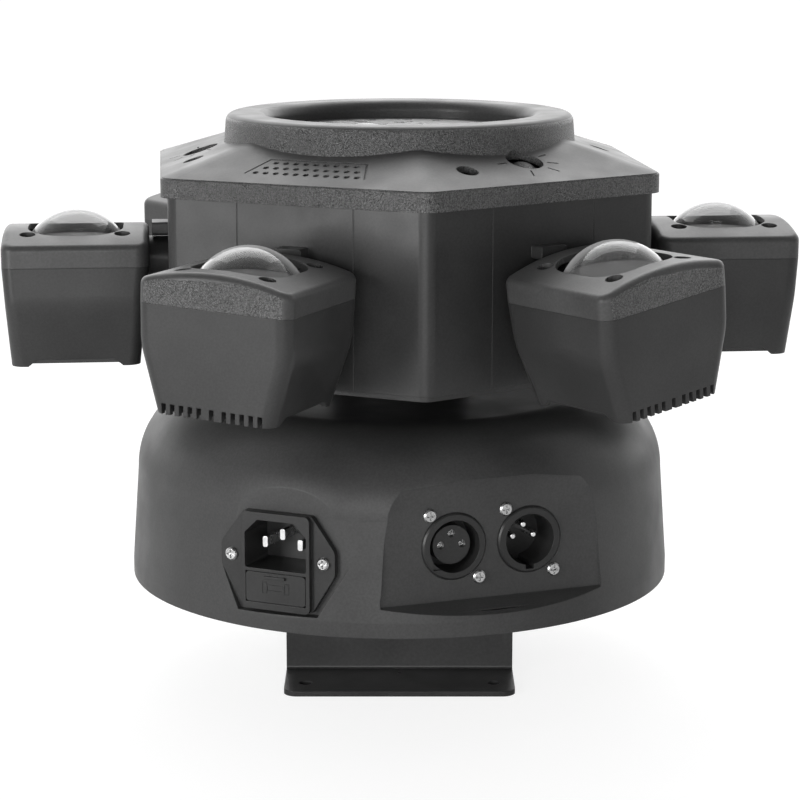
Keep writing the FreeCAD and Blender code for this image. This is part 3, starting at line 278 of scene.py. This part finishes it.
window_dark = moulded("window_dark", tone=0.01, rough=0.08, grain=800.0, depth=0.00001, strength=0.1,
                      edge=0.0002, gloss=0.5)
bright_metal = metal("bright_metal", tone=0.75, rough=0.2, grain=900.0)
screw_metal = metal("screw_metal", tone=0.5, rough=0.26, grain=900.0)
zinc = metal("zinc_steel", tone=0.45, rough=0.38, grain=700.0)
aluminium = metal("pulley_aluminium", tone=0.6, rough=0.3, grain=700.0)
lens_glass = domed("lens_glass", tone=0.1, rough=0.05)
window_glass = clear("window_frosted", tone=0.45, rough=0.45, ior=1.45, passing=0.45)
fuse_glass = clear("fuse_glass", tone=0.95, rough=0.02, ior=1.5)

slot_looks = {
    "bracket_black": painted_steel, "zinc_steel": zinc, "base_abs": base_plastic,
    "bright_screws": screw_metal, "inlet_plastic": connector_plastic, "bright_contacts": bright_metal,
    "drawer_plastic": connector_plastic, "fuse_glass": fuse_glass, "connector_black": connector_plastic,
    "board_green": board, "window_dark": window_dark, "button_rubber": rubber, "motor_dark": painted_steel,
    "pulley_aluminium": aluminium, "belt_rubber": rubber, "bearing_steel": zinc,
    "inner_plastic": inner_plastic, "spindle_black": satin, "rotor_abs": body_plastic,
    "cover_abs": cover_smooth, "window_frosted": window_glass, "head_abs": satin,
    "head_cover_abs": cover_smooth, "lens_clear": lens_glass, "led_black": inner_plastic,
}
slot_of = {row["node"]: row["material_slot"] for row in frame["record"]["subparts"]}
body_of = {node: body for body, nodes in frame["record"]["behaviour"]["bodies"].items() for node in nodes}


# building helpers
def add_piece(name, mesh, body, material):
    piece = bpy.data.objects.new(name, mesh)
    bpy.context.scene.collection.objects.link(piece)
    if not mesh.materials:
        mesh.materials.append(material)
    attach(piece, body)
    return piece


def smooth(mesh, degrees):
    mesh.polygons.foreach_set("use_smooth", [True] * len(mesh.polygons))
    mesh.set_sharp_from_angle(angle=math.radians(degrees))


def turned(degrees, axis="Z"):
    return Matrix.Rotation(math.radians(degrees), 4, axis)


def grained_copy(node, wanted):
    # copy of a frame node with the grained finish on the faces that the test picks
    mesh = frame["nodes"][node].data.copy()
    mesh.materials.append(cover_grained)
    for face in mesh.polygons:
        face.material_index = 1 if wanted(face.center / MM, face.normal) else 0
    piece = add_piece(node + "_finished", mesh, body_of[node], cover_smooth)
    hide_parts(node)


def loose_object(name, build):
    mesh = bpy.data.meshes.new(name)
    form = bmesh.new()
    build(form)
    form.to_mesh(mesh)
    form.free()
    solid = bpy.data.objects.new(name, mesh)
    bpy.context.scene.collection.objects.link(solid)
    return solid


def cut_away(solid, cutter):
    tool = solid.modifiers.new("cut", "BOOLEAN")
    tool.operation = "DIFFERENCE"
    tool.object = cutter
    bpy.context.view_layer.update()
    result = bpy.data.meshes.new_from_object(solid.evaluated_get(bpy.context.evaluated_depsgraph_get()))
    solid.modifiers.clear()
    solid.data = result
    bpy.data.objects.remove(cutter)


for node, shown in frame["nodes"].items():
    shown.data.materials.clear()
    shown.data.materials.append(slot_looks[slot_of[node]])


# grained bands of the top cover and of the head covers
def on_lid_band(centre, normal):
    outside = math.hypot(centre.x, centre.y) > lid_grain_inside
    return abs(normal.z) < lid_slope_share and outside and centre.z > lid_grain_bottom


def on_end_band(turn):
    # test for the outer end face of the head that points in a direction
    a = math.radians(turn)
    face_out = Vector((math.sin(a), -math.cos(a), 0))
    return lambda centre, normal: normal.dot(face_out) > end_face_share and centre.z < end_grain_top


grained_copy("top_cover", on_lid_band)
for k in range(arm_count):
    grained_copy("head_cover_" + str(k + 1), on_end_band(arm_turns[k]))


# cross-head screws of the head covers
def screw_body(form):
    # low pan head on a short shank
    bmesh.ops.create_cone(form, cap_ends=True, segments=32, radius1=screw_head_r, radius2=screw_head_r,
                          depth=screw_head_high)
    top = [e for e in form.edges if all(v.co.z > 0 for v in e.verts) and len(e.link_faces) == 2]
    bmesh.ops.bevel(form, geom=top, offset=screw_rounding, offset_type="OFFSET", affect="EDGES", segments=4,
                    profile=0.5, material=-1)
    bmesh.ops.translate(form, verts=form.verts, vec=(0, 0, screw_head_high / 2))
    shank = bmesh.ops.create_cone(form, cap_ends=True, segments=20, radius1=shank_r, radius2=shank_r,
                                  depth=shank_long)
    bmesh.ops.translate(form, verts=shank["verts"], vec=(0, 0, -shank_long / 2))


def cross_body(form):
    # two crossed bars that cut the drive into the screw head
    for turn in (0, 90):
        bar = bmesh.ops.create_cube(form, size=1.0)
        bmesh.ops.scale(form, verts=bar["verts"], vec=(cross_long, cross_wide, cross_tool_high))
        bmesh.ops.rotate(form, verts=bar["verts"], matrix=Matrix.Rotation(math.radians(turn), 3, "Z"))
        bmesh.ops.translate(form, verts=bar["verts"], vec=(0, 0, cross_floor + cross_tool_high / 2))


master_screw = loose_object("screw_pattern", screw_body)
cut_away(master_screw, loose_object("cross_pattern", cross_body))
for k in range(arm_count):
    gathered = bmesh.new()
    roll = (Matrix.Translation((0, 0, tilt_height)) @ turned(arm_rolls[k], (0, -1, 0))
            @ Matrix.Translation((0, 0, -tilt_height)))
    for i, across in enumerate((-screw_across, screw_across)):
        for j, out in enumerate((-screw_out, screw_out)):
            spot = Matrix.Translation((across, -(head_mid + out), screw_seat))
            spin = turned(first_spin + spin_step * (k + 2 * i + j))
            copy = master_screw.data.copy()
            copy.transform(Matrix.Scale(MM, 4) @ turned(arm_turns[k]) @ roll @ spot @ spin)
            gathered.from_mesh(copy)
            bpy.data.meshes.remove(copy)
    name = "cover_screws_" + str(k + 1)
    mesh = bpy.data.meshes.new(name)
    gathered.to_mesh(mesh)
    gathered.free()
    smooth(mesh, screw_smooth)
    add_piece(name, mesh, "head_" + str(k + 1), screw_metal)
bpy.data.objects.remove(master_screw)


def add_pattern(name, build, place, body, material, smoothed=None):
    # one piece from a form given in millimetres
    pattern = loose_object(name + "_pattern", build)
    pattern.data.transform(Matrix.Scale(MM, 4) @ place)
    if smoothed:
        smooth(pattern.data, smoothed)
    add_piece(name, pattern.data, body, material)
    bpy.data.objects.remove(pattern)


def dome_body(form):
    # shallow cap on a flat rim, its top at the origin
    bmesh.ops.create_uvsphere(form, u_segments=48, v_segments=32, radius=dome_r)
    ball = form.verts[:] + form.edges[:] + form.faces[:]
    bmesh.ops.bisect_plane(form, geom=ball, plane_co=(0, 0, dome_cut), plane_no=(0, 0, 1), clear_inner=True)
    rim = bmesh.ops.create_cone(form, cap_ends=True, segments=48, radius1=dome_rim_r, radius2=dome_rim_r,
                                depth=dome_rim_high)
    bmesh.ops.translate(form, verts=rim["verts"], vec=(0, 0, dome_rim_top - dome_rim_high / 2))
    bmesh.ops.translate(form, verts=form.verts, vec=(0, 0, -dome_r))


# domes that lie behind the holes of the sloping lid
for number, (turn, across, out) in enumerate(sensor_spots):
    height = lid_edge_height + (lid_edge_out - out) * lid_slope - dome_sink
    place = (turned(turn) @ Matrix.Translation((across, -out, height))
             @ Matrix.Rotation(math.atan(lid_slope), 4, "X"))
    add_pattern("sensor_dome_" + str(number + 1), dome_body, place, "rotor", cover_grained,
                dome_smooth)

# dark flat cap on the floor of the recess
place = Matrix.Translation(cap_place) @ Matrix.Diagonal((cap_wide, cap_wide, cap_flat, 1))
add_pattern("recess_cap", dome_body, place, "rotor", window_dark, dome_smooth)


# plain fuse outline on the drawer
def raised_bar(form, x0, x1, z0, z1):
    made = bmesh.ops.create_cube(form, size=1.0)
    bmesh.ops.scale(form, verts=made["verts"], vec=(x1 - x0, z1 - z0, mark_raised))
    bmesh.ops.translate(form, verts=made["verts"], vec=((x0 + x1) / 2, (z0 + z1) / 2, mark_raised / 2))


def raised_outline(form, x0, x1, half):
    # rectangle of four thin bars
    raised_bar(form, x0, x1, -half, mark_line - half)
    raised_bar(form, x0, x1, half - mark_line, half)
    raised_bar(form, x0, x0 + mark_line, mark_line - half, half - mark_line)
    raised_bar(form, x1 - mark_line, x1, mark_line - half, half - mark_line)


def fuse_mark(form):
    raised_outline(form, -fuse_cap_out, -fuse_cap_in, fuse_cap_half)
    raised_outline(form, fuse_cap_in, fuse_cap_out, fuse_cap_half)
    raised_outline(form, -fuse_tube_out, fuse_tube_out, fuse_tube_half)


place = (turned(inlet_turn) @ Matrix.Translation((drawer_across, -drawer_face, mark_height))
         @ turned(90, "X"))
add_pattern("fuse_mark", fuse_mark, place, "drawer", connector_plastic)

# floor that looks white to the camera and keeps the shadow
floor = loose_object("floor", lambda form: bmesh.ops.create_grid(form, x_segments=1, y_segments=1,
                                                                 size=floor_size))
paper, tree, surface = new_material("white_paper")
tree.links.new(spread(tree, noise(tree, paper_scale), *paper_tones), surface.inputs["Base Color"])
surface.inputs["Roughness"].default_value = paper_rough
surface.inputs["Specular IOR Level"].default_value = 0.0
glow = tree.nodes.new("ShaderNodeEmission")
glow.inputs["Strength"].default_value = paper_glow
view_share = tree.nodes.new("ShaderNodeMath")
view_share.operation = "MULTIPLY"
view_share.inputs[1].default_value = paper_glow_share
tree.links.new(tree.nodes.new("ShaderNodeLightPath").outputs["Is Camera Ray"], view_share.inputs[0])
lift = tree.nodes.new("ShaderNodeMixShader")
tree.links.new(view_share.outputs["Value"], lift.inputs[0])
tree.links.new(surface.outputs["BSDF"], lift.inputs[1])
tree.links.new(glow.outputs["Emission"], lift.inputs[2])
paper_output = [n for n in tree.nodes if n.type == "OUTPUT_MATERIAL"][0]
tree.links.new(lift.outputs["Shader"], paper_output.inputs["Surface"])
floor.data.materials.append(paper)

# white to the camera; for the rest bright paper behind the light and a dim room in front of it
world = bpy.data.worlds.new("studio")
bpy.context.scene.world = world
world.use_nodes = True
tree = world.node_tree
tree.nodes.clear()
seen = tree.nodes.new("ShaderNodeBackground")
seen.inputs["Color"].default_value = (1, 1, 1, 1)
seen.inputs["Strength"].default_value = 1.0
unseen = tree.nodes.new("ShaderNodeBackground")
unseen.inputs["Color"].default_value = (1, 1, 1, 1)
parts = tree.nodes.new("ShaderNodeSeparateXYZ")
tree.links.new(tree.nodes.new("ShaderNodeTexCoord").outputs["Generated"], parts.inputs["Vector"])
room = spread(tree, parts.outputs["Y"], room_front, room_back, room_front_y, room_back_y)
tree.links.new(room, unseen.inputs["Strength"])
path = tree.nodes.new("ShaderNodeLightPath")
either = joined(tree, "MAXIMUM", path.outputs["Is Camera Ray"], path.outputs["Is Transmission Ray"])
blend = tree.nodes.new("ShaderNodeMixShader")
tree.links.new(either, blend.inputs[0])
tree.links.new(unseen.outputs[0], blend.inputs[1])
tree.links.new(seen.outputs[0], blend.inputs[2])
output = tree.nodes.new("ShaderNodeOutputWorld")
tree.links.new(blend.outputs[0], output.inputs["Surface"])


# soft studio light
def softbox(name, place, aim, width, height, watts):
    light = bpy.data.lights.new(name, "AREA")
    light.shape = "RECTANGLE"
    light.size = width
    light.size_y = height
    light.energy = watts
    lamp = bpy.data.objects.new(name, light)
    bpy.context.scene.collection.objects.link(lamp)
    lamp.location = place
    lamp.rotation_euler = (Vector(aim) - Vector(place)).to_track_quat("-Z", "Y").to_euler()


softbox("overhead", place=(-0.1, 0.9, 1.3), aim=(0, 0, 0.15), width=1.6, height=1.0, watts=8)
softbox("left_front", place=(-1.0, -0.95, 0.3), aim=(0, 0, 0.15), width=0.4, height=0.6, watts=9)
softbox("front_low", place=(-0.1, -1.6, 0.25), aim=(0, 0, 0.08), width=1.0, height=0.4, watts=8)

camera = bpy.data.cameras.new("camera")
camera.sensor_width = film_width
camera.lens = camera.sensor_width * focal_pixels / photo_width
camera.clip_end = far_end
viewer = bpy.data.objects.new("camera", camera)
bpy.context.scene.collection.objects.link(viewer)
viewer.location = camera_place
viewer.rotation_euler = (math.radians(90) - camera_pitch, 0, 0)
bpy.context.scene.camera = viewer
bpy.context.scene.view_settings.view_transform = "Standard"
